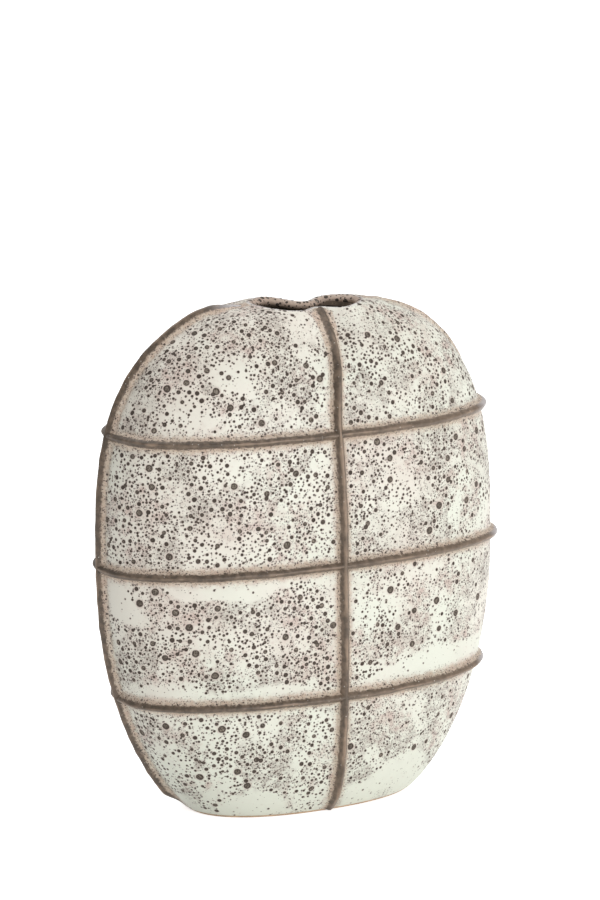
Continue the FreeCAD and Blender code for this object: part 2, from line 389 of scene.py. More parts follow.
def step_up(tree, value, low, high):
    """0 below low, 1 above high, and smooth between them."""
    made = node(tree, "ShaderNodeMapRange", {0: value, 1: low, 2: high}, interpolation_type="SMOOTHSTEP")
    return made.outputs[0]


def step_down(tree, value, low, high):
    """1 below low, 0 above high, and smooth between them."""
    return inverse(tree, step_up(tree, value, low, high))


def between(tree, share, low, high):
    """A number between low and high."""
    return node(tree, "ShaderNodeMapRange", {0: share, 3: low, 4: high}).outputs[0]


# %% Noise helpers
def noise_at(tree, where, size, detail=2.0, roughness=0.5):
    """Soft noise from 0 to 1, in lumps of about this size."""
    inputs = {"Vector": where, "Scale": 1 / size, "Detail": detail, "Roughness": roughness}
    return node(tree, "ShaderNodeTexNoise", inputs).outputs[0]


def patches(tree, where, size, low, high, detail=2.0, roughness=0.5):
    """Soft patches: 0 where the noise is below low, and 1 where it is above high."""
    return step_up(tree, noise_at(tree, where, size, detail, roughness), low, high)


def waver(tree, where, size, width, detail=2.0, roughness=0.5):
    """A number that wavers about 0, by at most half of this width."""
    middled = calc(tree, "SUBTRACT", noise_at(tree, where, size, detail, roughness), 0.5)
    return product(tree, middled, width)


# %% [markdown]
# ## Craters with Geometry Nodes
# As the glaze melts, gas from the clay and the glaze swells into bubbles that burst near the
# surface. What is left is a bowl with a steep side and a thin raised rim. The bowls differ only
# in place and size, so a node tree scatters points over the skin, looks up the nearest point
# from each vertex and presses the vertex in by the shape of a bowl. The tree has named inputs,
# and the same tree makes the large, the middling and the small craters. Each run keeps its
# points away from the craters that are already there.
#
# It also leaves two values on each vertex. `reach` is the distance from the nearest crater's
# middle, in radii of that crater, so that the shader can draw a sharp round edge on a mesh of
# only moderate fineness. `tone` says how much grey ash lies in that crater.

# %% The tree's inputs
def new_shape_tree(name, sizes):
    """A Geometry Nodes tree with a mesh and a material and these named sizes as its inputs."""
    tree = bpy.data.node_groups.new(name, "GeometryNodeTree")
    tree.is_modifier = True
    tree.interface.new_socket("Geometry", in_out="INPUT", socket_type="NodeSocketGeometry")
    for label, kind in sizes.items():
        tree.interface.new_socket(label, in_out="INPUT", socket_type=kind)
    tree.interface.new_socket("Material", in_out="INPUT", socket_type="NodeSocketMaterial")
    tree.interface.new_socket("Geometry", in_out="OUTPUT", socket_type="NodeSocketGeometry")
    return tree, node(tree, "NodeGroupInput"), node(tree, "NodeGroupOutput")


def end_shape_tree(tree, given, result, geometry):
    """Realizes what the tree made, gives it its material and sends it out."""
    real = node(tree, "GeometryNodeRealizeInstances", {"Geometry": geometry}).outputs[0]
    inputs = {"Geometry": real, "Material": given.outputs["Material"]}
    dressed = node(tree, "GeometryNodeSetMaterial", inputs)
    feed(tree, result.inputs[0], dressed.outputs[0])


def named(tree, name, kind="FLOAT"):
    made = node(tree, "GeometryNodeInputNamedAttribute", {"Name": name}, data_type=kind)
    return made.outputs[0]


def apply_tree(thing, tree, material, **sizes):
    """Runs a tree on an object with these sizes, and keeps the result as a plain mesh."""
    modifier = thing.modifiers.new(tree.name, "NODES")
    modifier.node_group = tree
    sockets = {item.name: item.identifier for item in tree.interface.items_tree if item.in_out == "INPUT"}
    for label, value in sizes.items():
        modifier[sockets[label.replace("_", " ")]] = value
    modifier[sockets["Material"]] = material
    graph = bpy.context.evaluated_depsgraph_get()
    shaped = thing.evaluated_get(graph)
    made = bpy.data.meshes.new_from_object(shaped, preserve_all_data_layers=True, depsgraph=graph)
    old = thing.data
    thing.modifiers.clear()
    thing.data = made
    bpy.data.meshes.remove(old)
    made.name = thing.name


# %% Reading and keeping values
def pick_point(tree, points, value, kind="FLOAT"):
    """The value of the scattered point that is nearest to each vertex."""
    nearest = node(tree, "GeometryNodeSampleNearest", {"Geometry": points}, domain="POINT").outputs[0]
    inputs = {"Geometry": points, "Value": value, "Index": nearest}
    return node(tree, "GeometryNodeSampleIndex", inputs, data_type=kind, domain="POINT").outputs[0]


def keep_value(tree, geometry, name, value):
    """Stores a number on each vertex."""
    inputs = {"Geometry": geometry, "Name": name, "Value": value}
    made = node(tree, "GeometryNodeStoreNamedAttribute", inputs, data_type="FLOAT", domain="POINT")
    return made.outputs[0]


def chance_at(tree, given, number):
    """A random share for each point, from the tree's seed and this number."""
    seed = calc(tree, "ADD", given.outputs["Seed"], float(number))
    return node(tree, "FunctionNodeRandomValue", {"Seed": seed}, data_type="FLOAT").outputs[1]


def along_wall(tree, distance):
    """The wall's outward direction, made this long."""
    inputs = {0: named(tree, "wall_up", "FLOAT_VECTOR"), "Scale": distance}
    return node(tree, "ShaderNodeVectorMath", inputs, operation="SCALE").outputs[0]


# %% Sizes of the craters
# The side, the rim, the ragged edge and the room round a crater are in radii of that crater.
crater_side = (0.35, 1.0)
crater_rim_place = 1.18
crater_rim_width = 0.20
crater_rim_rise = 0.10
crater_apart = (1.2, 1.7)
ragged_edge = 0.17
ragged_size = 1.5 * mm
mostly_small_power = 1.8
crater_labels = ("Spacing", "Density", "Smallest", "Largest", "Depth", "Darkest", "Palest")


def crater_points(tree, given, mesh):
    """Points on the outer side of a skin, apart from each other and from earlier craters."""
    apart = step_up(tree, named(tree, "reach"), *crater_apart)
    inputs = {
        "Mesh": mesh,
        "Selection": calc(tree, "GREATER_THAN", named(tree, "skin"), 0.9),
        "Distance Min": given.outputs["Spacing"],
        "Density Max": given.outputs["Density"],
        "Density Factor": product(tree, named(tree, "foam"), apart),
        "Seed": given.outputs["Seed"],
    }
    made = node(tree, "GeometryNodeDistributePointsOnFaces", inputs, distribute_method="POISSON")
    return made.outputs["Points"]


def crater_profile(tree, given, reach, size, before):
    """How far the glaze moves along the wall's normal: down in the bowl and up at its rim."""
    bowl = step_down(tree, reach, *crater_side)
    from_rim = calc(tree, "SUBTRACT", reach, crater_rim_place)
    rim_reach = calc(tree, "DIVIDE", from_rim, crater_rim_width)
    rim = calc(tree, "EXPONENT", product(tree, rim_reach, rim_reach, -1.0))
    pressed = product(tree, size, given.outputs["Depth"], bowl)
    raised = product(tree, size, crater_rim_rise, rim)
    untouched = product(tree, step_up(tree, before, 0.6, 1.2), named(tree, "skin"))
    return product(tree, calc(tree, "SUBTRACT", raised, pressed), untouched)


# %% The crater tree
def make_crater_tree():
    inputs = {label: "NodeSocketFloat" for label in crater_labels}
    tree, given, result = new_shape_tree("glaze_craters", {**inputs, "Seed": "NodeSocketInt"})
    mesh = given.outputs["Geometry"]
    points = crater_points(tree, given, mesh)
    mostly_small = calc(tree, "POWER", chance_at(tree, given, 1), mostly_small_power)
    radius = between(tree, mostly_small, given.outputs["Smallest"], given.outputs["Largest"])
    ash = between(tree, chance_at(tree, given, 2), given.outputs["Darkest"], given.outputs["Palest"])

    place = node(tree, "GeometryNodeInputPosition").outputs[0]
    centre = pick_point(tree, points, place, "FLOAT_VECTOR")
    size = pick_point(tree, points, radius)
    away = node(tree, "ShaderNodeVectorMath", {0: place, 1: centre}, operation="DISTANCE")
    ragged = between(tree, noise_at(tree, place, ragged_size, 1.0), -ragged_edge, ragged_edge)
    reach = calc(tree, "ADD", calc(tree, "DIVIDE", away.outputs["Value"], size), ragged)

    before = named(tree, "reach")
    closer = calc(tree, "LESS_THAN", reach, before)
    tone = between(tree, closer, named(tree, "tone"), pick_point(tree, points, ash))
    marked = keep_value(tree, mesh, "tone", tone)
    marked = keep_value(tree, marked, "reach", calc(tree, "MINIMUM", before, reach))
    offset = along_wall(tree, crater_profile(tree, given, reach, size, before))
    moved = node(tree, "GeometryNodeSetPosition", {"Geometry": marked, "Offset": offset})
    end_shape_tree(tree, given, result, moved.outputs[0])
    return tree


crater_tree = make_crater_tree()
print("crater tree has", len(crater_tree.nodes), "nodes")

# %% [markdown]
# ## The glaze as a shader
# Fired, the glaze is a pale greenish cream. Where gas came up it is clouded with fine pink and
# grey specks and small round holes. The larger craters are real shape, and `reach` and `tone`
# colour them. The small holes are cells of a solid Voronoi pattern: the wall cuts each ball at
# a different depth, so the holes differ in size as they do in a real glaze. `calm` marks the
# smooth patches, `gap` is the distance from a rib's brown crest in millimetres, and `inside`
# goes from 0 to 1 over the lip.

# %% Shader helpers
def new_material(name):
    material = bpy.data.materials.new(name)
    material.use_nodes = True
    material.node_tree.nodes.clear()
    return material, material.node_tree


def mixed(tree, share, low, high):
    """A colour between two colours."""
    made = node(tree, "ShaderNodeMix", {0: share, 6: low, 7: high}, data_type="RGBA")
    return made.outputs[2]


def value_of(tree, name):
    return node(tree, "ShaderNodeAttribute", attribute_name=name).outputs["Fac"]


def holes_at(tree, where, size, smallest, largest, share):
    """Round holes in cells of this size. Returns 1 inside a hole, and a wider soft ring round it."""
    cells = node(tree, "ShaderNodeTexVoronoi", {"Vector": where, "Scale": 1 / size, "Randomness": 1.0})
    parts = node(tree, "ShaderNodeSeparateColor", {0: cells.outputs["Color"]})
    radius = between(tree, parts.outputs[0], smallest, largest)
    there = calc(tree, "LESS_THAN", parts.outputs[1], share)
    reach = calc(tree, "DIVIDE", cells.outputs["Distance"], radius)
    hole = product(tree, step_down(tree, reach, 0.78, 1.08), there)
    ring = product(tree, step_down(tree, reach, 0.9, 2.0), there)
    return hole, ring


# %% Glaze colours
cream = (0.690, 0.705, 0.610, 1)
warm_cream = (0.700, 0.670, 0.590, 1)
pink_cloud = (0.500, 0.378, 0.330, 1)
grey_cloud = (0.400, 0.365, 0.315, 1)
hole_brown = (0.050, 0.034, 0.023, 1)
speck_brown = (0.120, 0.092, 0.074, 1)
crater_floor = (0.040, 0.028, 0.020, 1)
crater_ash = (0.300, 0.255, 0.205, 1)
halo_tan = (0.450, 0.318, 0.222, 1)
inside_tan = (0.405, 0.288, 0.208, 1)
# Dark brown inside the mouth: the inside glaze's colour, darkened as painted shade of the deep bore and the
# inner walls.
inside_brown_painted_shade = (0.200, 0.146, 0.105, 1)
lip_lilac = (0.520, 0.495, 0.500, 1)
rib_dark = (0.056, 0.038, 0.024, 1)
# A lighter copy of the rib brown, used as painted light on the ribs towards the right side.
rib_painted_light_brown = (0.112, 0.078, 0.051, 1)
pinhole_white = (0.640, 0.610, 0.550, 1)


# %% Sizes of the pattern
# For each kind of hole: the size of its cells, and its smallest and largest radius in cells.
small_holes = (2.3 * mm, 0.14, 0.34)
tiny_holes = (1.45 * mm, 0.16, 0.36)
specks = (0.88 * mm, 0.22, 0.43)
pinholes = (1.5 * mm, 0.10, 0.20)
cloud_size = 24 * mm
warm_size = 60 * mm
hue_size = 34 * mm
blush_size = 46 * mm
patchy_size = 5 * mm
halo_width = 4.2
halo_waver = 6.5
edge_grain = 1.8 * mm

# %% Gloss and relief
glaze_roughness = 0.46
crater_roughness = 0.85
rib_roughness = 0.48
glaze_relief = 0.50 * mm
rib_relief = 0.45 * mm
glaze_ior = 1.5


# %% The glaze's pattern
def halo_colour(tree, where, gap, colour):
    """The band beside a rib's crest, where the glaze is thin and stained by the clay."""
    uneven = waver(tree, where, edge_grain, halo_waver, 3.0, 0.65)
    stained = step_down(tree, calc(tree, "ADD", gap, uneven), 0.0, halo_width)
    return mixed(tree, product(tree, stained, 0.70), colour, halo_tan)


def clouded(tree, where, gap, foamed):
    """The glaze's colour with its clouds, and how busy its fine pattern is."""
    clouds = product(tree, patches(tree, where, cloud_size, 0.41, 0.55, 4.0, 0.62), foamed)
    beside_rib = step_down(tree, gap, 0.5, 7.0)
    busy = calc(tree, "MAXIMUM", clouds, product(tree, beside_rib, 0.85))
    height = node(tree, "ShaderNodeSeparateXYZ", {0: where}).outputs[2]
    above_foot = step_up(tree, height, 15 * mm, 100 * mm)
    warm = product(tree, patches(tree, where, warm_size, 0.35, 0.65), above_foot)
    body = mixed(tree, warm, cream, warm_cream)
    tint = mixed(tree, patches(tree, where, hue_size, 0.40, 0.60, 1.0), pink_cloud, grey_cloud)
    patchy = patches(tree, where, patchy_size, 0.30, 0.75, 2.0, 0.6)
    blush = patches(tree, where, blush_size, 0.44, 0.66, 3.0, 0.6)
    blush = product(tree, blush, between(tree, foamed, 0.35, 1.0))
    colour = mixed(tree, product(tree, blush, above_foot, 0.20), body, pink_cloud)
    colour = mixed(tree, product(tree, busy, patchy, 0.85), colour, tint)
    return halo_colour(tree, where, gap, colour), busy


def pierced(tree, where, foamed, busy, apart, colour):
    """The colour with its small holes and specks, and the height of the surface."""
    small_share = between(tree, foamed, 0.08, 0.62)
    tiny_share = product(tree, foamed, between(tree, busy, 0.22, 0.85))
    speck_share = calc(tree, "ADD", product(tree, busy, 0.92), product(tree, foamed, 0.10))
    small, small_ring = holes_at(tree, where, *small_holes, small_share)
    tiny, tiny_ring = holes_at(tree, where, *tiny_holes, tiny_share)
    speck, _ = holes_at(tree, where, *specks, speck_share)
    small, tiny, speck = (product(tree, hole, apart) for hole in (small, tiny, speck))
    ring = calc(tree, "MAXIMUM", small_ring, tiny_ring)
    stains = ((ring, 0.30, pink_cloud), (speck, 0.85, speck_brown), (tiny, 0.88, hole_brown),
              (small, 0.95, hole_brown))
    for mask, strength, stain in stains:
        colour = mixed(tree, product(tree, mask, strength), colour, stain)
    height = product(tree, noise_at(tree, where, 0.7 * mm, 2.0), 0.10)
    for hole, depth in ((small, 1.0), (tiny, 0.7), (speck, 0.35)):
        height = calc(tree, "SUBTRACT", height, product(tree, hole, depth))
    return colour, height


def glaze_pattern(tree, gap, apart):
    """Place, colour and height of the glaze, before ribs, craters and mouth change them.

    apart is 0 on the large craters and 1 away from them, so that no small hole cuts their edge.
    """
    where = node(tree, "ShaderNodeTexCoord").outputs["Object"]
    foamed = inverse(tree, value_of(tree, "calm"))
    colour, busy = clouded(tree, where, gap, foamed)
    colour, height = pierced(tree, where, foamed, busy, apart, colour)
    return where, colour, height


# %% Craters and firing
def crater_colour(tree, where, colour):
    """Dark floors in the craters, grey ash in some of them, and a stained ring at their edge."""
    reach = value_of(tree, "reach")
    stain = step_down(tree, reach, 1.0, 1.45)
    floor = step_down(tree, reach, 0.88, 1.02)
    middle = step_down(tree, reach, 0.35, 0.95)
    mottle = patches(tree, where, 0.8 * mm, 0.36, 0.66, 2.0, 0.7)
    ashes = product(tree, mottle, middle, value_of(tree, "tone"))
    bottom = mixed(tree, ashes, crater_floor, crater_ash)
    colour = mixed(tree, product(tree, stain, 0.40), colour, pink_cloud)
    return mixed(tree, floor, colour, bottom), floor


def fired(tree, colour, roughness, height, depth):
    """The shader itself: a matt to satin surface with the small relief as a bump."""
    bump = node(tree, "ShaderNodeBump", {"Strength": 0.8, "Distance": depth, "Height": height})
    inputs = {"Base Color": colour, "Roughness": roughness, "IOR": glaze_ior, "Normal": bump.outputs[0]}
    shader = node(tree, "ShaderNodeBsdfPrincipled", inputs)
    node(tree, "ShaderNodeOutputMaterial", {0: shader.outputs[0]})


# %% Wall glaze
# Bands over the lip: where each begins and is full, how strong it is, and its colour. The last band, dark
# brown deep down the bore, is painted shade.
lip_bands = ((0.02, 0.16, 0.70, lip_lilac), (0.12, 0.30, 0.85, inside_tan), (0.60, 0.85, 1.0, inside_brown_painted_shade))


def make_wall_glaze():
    material, tree = new_material("cratered_glaze")
    gap = value_of(tree, "gap")
    apart = step_up(tree, value_of(tree, "reach"), 1.12, 1.40)
    where, colour, height = glaze_pattern(tree, gap, apart)
    inside = value_of(tree, "inside")
    for start, full, strength, stain in lip_bands:
        band = product(tree, step_up(tree, inside, start, full), strength)
        colour = mixed(tree, band, colour, stain)
    colour, floor = crater_colour(tree, where, colour)
    roughness = between(tree, floor, glaze_roughness, crater_roughness)
    fired(tree, colour, roughness, height, glaze_relief)
    return material


wall_glaze = make_wall_glaze()
print("the wall glaze has", len(wall_glaze.node_tree.nodes), "nodes")


# %% [markdown]
# ## Rib glaze
# On a raised edge the melted glaze runs off, and the iron in the clay burns it brown. `gap` is
# below 0 on the crest, and there the brown lies. At its edge the pale glaze begins in
# spots, so the border is broken up by a noise. Tiny white dots are pinholes filled with glaze.
# Where `bare` is below 1, the brown fades to a lilac grey: at the upper ends of the edge ribs and
# at the right ends of the level ribs.

# %% Rib glaze
def rib_brown(tree, where, gap):
    """The brown of a crest: lighter to the right as painted light, streaked, with a painted highlight along
    the middle of the crest in parts, and lilac where bare.
    """
    place = node(tree, "ShaderNodeSeparateXYZ", {0: where}).outputs
    # Painted light: the ribs' brown turns lighter towards the right, below the top.
    painted_light_to_right = step_up(tree, place[0], -70 * mm, 110 * mm)
    below_top = step_down(tree, place[2], 215 * mm, 268 * mm)
    brown = mixed(tree, product(tree, painted_light_to_right, below_top), rib_dark, rib_painted_light_brown)
    streak = patches(tree, where, 4 * mm, 0.35, 0.75, 4.0, 0.65)
    brown = mixed(tree, product(tree, streak, 0.26), brown, halo_tan)
    # A painted highlight: a paler line along the middle of the crest, where the ridge's top catches the
    # light, shown in patches.
    from_middle = calc(tree, "ADD", gap, waver(tree, where, 7 * mm, 2.0))
    crest_highlight_painted = step_down(tree, from_middle, -2.1, -1.3)
    in_parts = patches(tree, where, 30 * mm, 0.42, 0.58, 1.0)
    brown = mixed(tree, product(tree, crest_highlight_painted, in_parts, 0.38), brown, halo_tan)
    return mixed(tree, value_of(tree, "bare"), lip_lilac, brown)


def make_rib_glaze():
    material, tree = new_material("rib_glaze")
    gap = value_of(tree, "gap")
    where, colour, height = glaze_pattern(tree, gap, 1.0)
    uneven = waver(tree, where, edge_grain, 2.0, 3.0, 0.6)
    crest = step_down(tree, calc(tree, "ADD", gap, uneven), -0.45, 0.45)
    colour = mixed(tree, crest, colour, rib_brown(tree, where, gap))
    dots, _ = holes_at(tree, where, *pinholes, 0.16)
    colour = mixed(tree, product(tree, dots, crest, 0.8), colour, pinhole_white)
    relief = product(tree, height, inverse(tree, crest))
    grain = product(tree, noise_at(tree, where, 0.8 * mm, 3.0), 0.30)
    fired(tree, colour, rib_roughness, calc(tree, "ADD", relief, grain), rib_relief)
    return material


rib_glaze = make_rib_glaze()


# %% [markdown]
# ## Bare clay
# The foot was wiped clean before the firing, so that the vase didn't stick to the shelf. It is
# tan stoneware with dark grit. Inside, a thin coat of the glaze has soaked in and stayed tan; the
# inner walls are drawn in a darker brown, as painted shade of the deep inside.

# %% Clay materials
clay_tan = (0.680, 0.500, 0.340, 1)
clay_dark = (0.460, 0.320, 0.210, 1)
inside_deep = (0.120, 0.088, 0.064, 1)
grit = (1.8 * mm, 0.10, 0.26)
pits = (5.5 * mm, 0.12, 0.34)
clay_roughness = 0.82
clay_relief = 0.35 * mm


def make_clay(name, light, dark, pit_share):
    material, tree = new_material(name)
    where = node(tree, "ShaderNodeTexCoord").outputs["Object"]
    patch = patches(tree, where, 18 * mm, 0.35, 0.68, 4.0, 0.6)
    colour = mixed(tree, patch, light, dark)
    dark_grit, _ = holes_at(tree, where, *grit, 0.45)
    colour = mixed(tree, product(tree, dark_grit, 0.7), colour, clay_dark)
    pit, _ = holes_at(tree, where, *pits, pit_share)
    colour = mixed(tree, pit, colour, hole_brown)
    grain = noise_at(tree, where, 0.6 * mm, 4.0, 0.7)
    fired(tree, colour, clay_roughness, calc(tree, "SUBTRACT", grain, pit), clay_relief)
    return material


bare_clay = make_clay("bare_clay", clay_tan, clay_dark, 0.0)
# The inner walls' base brown is darkened as painted shade.
inside_glaze = make_clay("inside_glaze", inside_brown_painted_shade, inside_deep, 0.45)
print("materials", [m.name for m in (wall_glaze, rib_glaze, bare_clay, inside_glaze)])


# %% [markdown]
# ## The glazed panels
# The ribs divide each face into rows of panels. On the back each row is one skin from seam to
# seam, and on the front the upright rib parts it in two. The borders lie under the ribs. Each
# vertex gets the values that the shader and the crater tree read: how far the nearest rib is,
# where the glaze stayed smooth, and where it foamed.

# %% Wandering masks
# The waves mostly add up to less than `wave_sum`, so the noise lies between about -1 and 1.
wave_count = 9
wave_sum = 2.4
# Beside a level rib, the way along the wall is this much longer than its height.
rung_slope = 1.04


def wander(points, size, seed):
    """Soft seeded noise from about -1 to 1, in waves of about this size in millimetres."""
    chance = np.random.default_rng(seed)
    total = np.zeros(points.shape[:-1])
    for _ in range(wave_count):
        direction = chance.normal(size=3)
        direction *= 2 * math.pi / size * chance.uniform(0.6, 1.5) / np.linalg.norm(direction)
        total += np.sin(points @ direction + chance.uniform(0, 2 * math.pi))
    return total / wave_sum


def rib_gap(points, turns, heights):
    """The distance in millimetres from each point to the brown crest of the nearest rib."""
    x, y = points[..., 0], points[..., 1]
    gaps = [np.abs(heights - rung_height_at(level, turns)) * rung_slope for level in rung_level]
    gaps.append(np.abs(x - face_rib_x(heights)))
    for hand in (-1, 1):
        seam = shift_at(heights) + hand * width_at(heights)
        gaps.append(np.hypot(x - seam, y))
    return np.min(gaps, axis=0) - crest_half_width


# %% Smooth bands, in millimetres
# Each band reaches this high from its line. Its border sways by so much, in waves of this size.
foot_calm = {"height": 17, "sway": 8, "size": 46, "seed": 7, "softness": 7, "tilt": 0.04}
low_calm = {"height": 18, "sway": 7, "size": 60, "seed": 8, "softness": 6}
mid_calm = {"height": 17, "sway": 7, "size": 52, "seed": 9, "softness": 6}
strap_calm = {"height": 0, "sway": 7, "size": 26, "seed": 12, "softness": 8}
strap_calm_start = 262
most_calm = 0.92


def smooth_band(points, distance, height, sway, size, seed, softness, tilt=0.0):
    """1 within a wandering distance of a line, and 0 beyond it."""
    reach = height + sway * wander(points, size, seed) + tilt * points[..., 0]
    return ease((reach - distance) / softness)


def calm_at(points, turns, heights):
    """1 where the glaze ran smooth: at the foot, over the lowest rib, under the middle rib on the
    left, beside the strap at the mouth and, less so, in soft spots."""
    x = points[..., 0]
    over_low = heights - rung_height_at("lower", turns)
    under_mid = rung_height_at("middle", turns) - heights
    foot = smooth_band(points, heights, **foot_calm)
    low = smooth_band(points, over_low, **low_calm) * (over_low > 0)
    mid = smooth_band(points, under_mid, **mid_calm) * (under_mid > 0) * ease((20 - x) / 40)
    by_strap = ease((34 - np.abs(x - face_rib_x(heights))) / 16)
    top = 0.60 * by_strap * smooth_band(points, strap_calm_start - heights, **strap_calm)
    spots = 0.42 * ease((wander(points, 24.0, 10) - 0.60) / 0.70)
    return np.clip(np.maximum.reduce([foot, low, mid, top, spots]), 0.0, most_calm)


# %% The values of a panel
least_lively = 0.22
rib_clearance = 2.6
border_clearance = 1.5
no_rib_near = 40.0
no_crater_near = 9.0


def lively_at(points, heights):
    """How much the glaze foams: less on the right, least low on the right, and less over the foot."""
    to_right = ease((points[..., 0] + 10) / 60)
    low_right = to_right * ease((rung_level["middle"] + 5 - heights) / 10)
    near_foot = ease((rung_level["lower"] - heights) / 12)
    lively = 1.14 + 0.26 * wander(points, 30.0, 11) - 0.56 * to_right
    return np.clip(lively - 0.54 * low_right - 0.46 * near_foot, least_lively, 1.0)


def from_border(points):
    """The distance in millimetres from each point of a grid to its left or right border."""
    steps = np.linalg.norm(np.diff(points, axis=1), axis=-1)
    reached = np.concatenate([np.zeros((len(points), 1)), np.cumsum(steps, axis=1)], axis=1)
    return np.minimum(reached, reached[:, -1:] - reached)


def panel_values(points, turns, heights, inside):
    """The values that the craters and the shader read, at each point of a panel."""
    outside = 1 - ease(inside * 8)
    calm = calm_at(points, turns, heights) * outside
    gap = rib_gap(points, turns, heights) + no_rib_near * (1 - outside)
    clear = ease((gap - rib_clearance) / 1.6) * ease(from_border(points) - border_clearance)
    foam = np.maximum(lively_at(points, heights), ease(inside * 4)) * (1 - calm) ** 2 * clear
    reach = np.full_like(gap, no_crater_near)
    return {"gap": gap, "calm": calm, "foam": foam, "inside": inside, "reach": reach, "tone": reach * 0}


# %% Rows of a face
def face_rib_turn(side, z):
    """The turn at which the rib up the middle of a face runs at a height."""
    share = (face_rib_x(z) - shift_at(z)) / width_at(z)
    return np.arcsin(np.sign(share) * np.abs(share) ** (plan_power[side] / 2))


def row_grid(side, low, high, columns, rows, part):
    """Turns and heights of a panel between two ribs. part is left, right or whole."""
    middle = (float(low(np.zeros(1))[0]) + float(high(np.zeros(1))[0])) / 2
    even = even_turns(side, middle, 2 * columns if part != "whole" else columns)
    if part == "left":
        even = even[:columns + 1]
    if part == "right":
        even = even[columns:]
    bottom, top = low(even), high(even)
    steps = even_heights(float(bottom.mean()), float(top.mean()), rows)
    share = (steps - steps[0]) / (steps[-1] - steps[0])
    heights = bottom[None, :] + share[:, None] * (top - bottom)[None, :]
    if part == "whole":
        return np.broadcast_to(even, heights.shape), heights
    rib_turn = face_rib_turn(side, heights)
    end = even[0] if part == "left" else even[-1]
    return end + (even[None, :] - end) * (rib_turn - end) / -end, heights


def foot_line(turns):
    return np.full_like(turns, foot_rim_height)


def rim_line(turns):
    return np.full_like(turns, rim_height)


def rung_line(level):
    return lambda turns: rung_height_at(level, turns)


row_borders = {
    "foot_row": (foot_line, rung_line("lower")),
    "belly_row": (rung_line("lower"), rung_line("middle")),
    "shoulder_row": (rung_line("middle"), rung_line("upper")),
    "mouth_row": (rung_line("upper"), rim_line),
}
glaze_skin = 2.2
panel_parts = {"front": ("left", "right"), "back": ("whole",)}
panel_points = {"left": (312, 184), "right": (312, 184), "whole": (416, 120)}


# %% [markdown]
# ## Over the lip
# The top row doesn't stop at the rim. It rolls over the lip, goes down the bore of the mouth and
# ends on the roof inside. Each ring of the lip is the rim's line moved inwards and down, so the
# two lobes and the waist between them keep their shape.

# %% The lip's roll
# How far each ring lies inside the rim's line, and how far below it, in millimetres.
lip_path = [(0.25, -0.02), (0.6, -0.18), (1.0, -0.28), (1.5, -0.30), (2.1, -0.22), (2.7, 0.02),
            (3.3, 0.38), (3.9, 0.85), (4.4, 1.3), (4.7, 1.9), (4.75, 2.5), (4.6, 3.1),
            (4.1, 3.7), (3.3, 4.4), (2.2, 5.2), (0.9, 6.0)]
lip_fine = 24
lip_start = 0.05


def rim_inward(side, turns):
    """The rim's line and the way into the mouth, square to it."""
    fine = np.linspace(-quarter_turn, quarter_turn, turn_samples)
    ring = wall_point(side, fine, np.full_like(fine, rim_height))
    along = np.gradient(ring[:, :2], axis=0)
    inward = unit(np.stack([along[:, 1], -along[:, 0]], axis=-1) * side)
    inward[0] = (1, 0)
    inward[-1] = (-1, 0)
    places = np.stack([np.interp(turns, fine, ring[:, k]) for k in range(3)], axis=-1)
    ways = np.stack([np.interp(turns, fine, inward[:, k]) for k in range(2)], axis=-1)
    return places, unit(ways)


def lip_rows(side, turns):
    """Rings of points from the rim over the lip and down to the roof inside."""
    path = np.array(lip_path)
    steps = np.concatenate([[0.0], np.cumsum(np.linalg.norm(np.diff(path, axis=0), axis=1))])
    even = np.linspace(0.0, steps[-1], lip_fine)
    inset = np.interp(even, steps, path[:, 0])
    drop = np.interp(even, steps, path[:, 1])
    places, ways = rim_inward(side, turns)
    rings = []
    for move, fall in zip(inset, drop):
        ring = places.copy()
        ring[:, :2] += ways * move
        ring[:, 2] -= fall
        rings.append(ring)
    return np.array(rings), even / steps[-1]


# %% Build the panels
def make_panel(face, row, part):
    low, high = row_borders[row]
    columns, rows = (count // coarse for count in panel_points[part])
    side = sides[face]
    turns, heights = row_grid(side, low, high, columns, rows, part)
    points = wall_point(side, turns, heights)
    inside = np.zeros(heights.shape)
    if row == "mouth_row":
        rings, share = lip_rows(side, turns[-1])
        over = rings.shape[:2]
        points = np.concatenate([points, rings])
        inside = np.concatenate([inside, np.broadcast_to(grown(lip_start, share)[:, None], over)])
        turns = np.concatenate([turns, np.broadcast_to(turns[-1], over)])
        heights = np.concatenate([heights, np.full(over, rim_height)])
        # The coarse grid needs whole steps, so a few rows under the rib give way.
        keep = (len(points) - 1) // under_step * under_step + 1
        points, inside, turns, heights = (grid[-keep:] for grid in (points, inside, turns, heights))
    name = f"{face}_{row}" if part == "whole" else f"{face}_{row}_{part}"
    return skin_from_grid(name, points, side, glaze_skin, panel_values(points, turns, heights, inside))


def drop_helpers(mesh, names):
    """Removes the values that only the node trees read."""
    for name in names:
        mesh.attributes.remove(mesh.attributes[name])


# The values that crater_labels names, for each kind of crater.
crater_sizes = {
    "large": (10.0 * mm, 1.6e4, 1.2 * mm, 2.3 * mm, 0.46, 0.35, 1.0),
    "middling": (4.1 * mm, 1.4e5, 0.78 * mm, 1.46 * mm, 0.85, 0.0, 0.35),
    "small": (2.1 * mm, 6.0e5, 0.44 * mm, 0.84 * mm, 0.85, 0.0, 0.2),
}
first_seed = 11
seed_step = 7
panels = []
for face, parts in panel_parts.items():
    for row in row_borders:
        for part in parts:
            panel = make_panel(face, row, part)
            seed = first_seed + seed_step * len(panels)
            for values in crater_sizes.values():
                apply_tree(panel, crater_tree, wall_glaze, Seed=seed, **dict(zip(crater_labels, values)))
            drop_helpers(panel.data, ("skin", "wall_up", "foam"))
            panels.append((panel, face, row))
            print(panel.name, len(panel.data.polygons), "faces")


# %% [markdown]
# ## The clay behind the glaze
# Through the mouth one sees the inside of the walls. Each half is a plain closed shell from the
# floor to the roof beside the mouth, offset from the outside by the thickness of the clay.

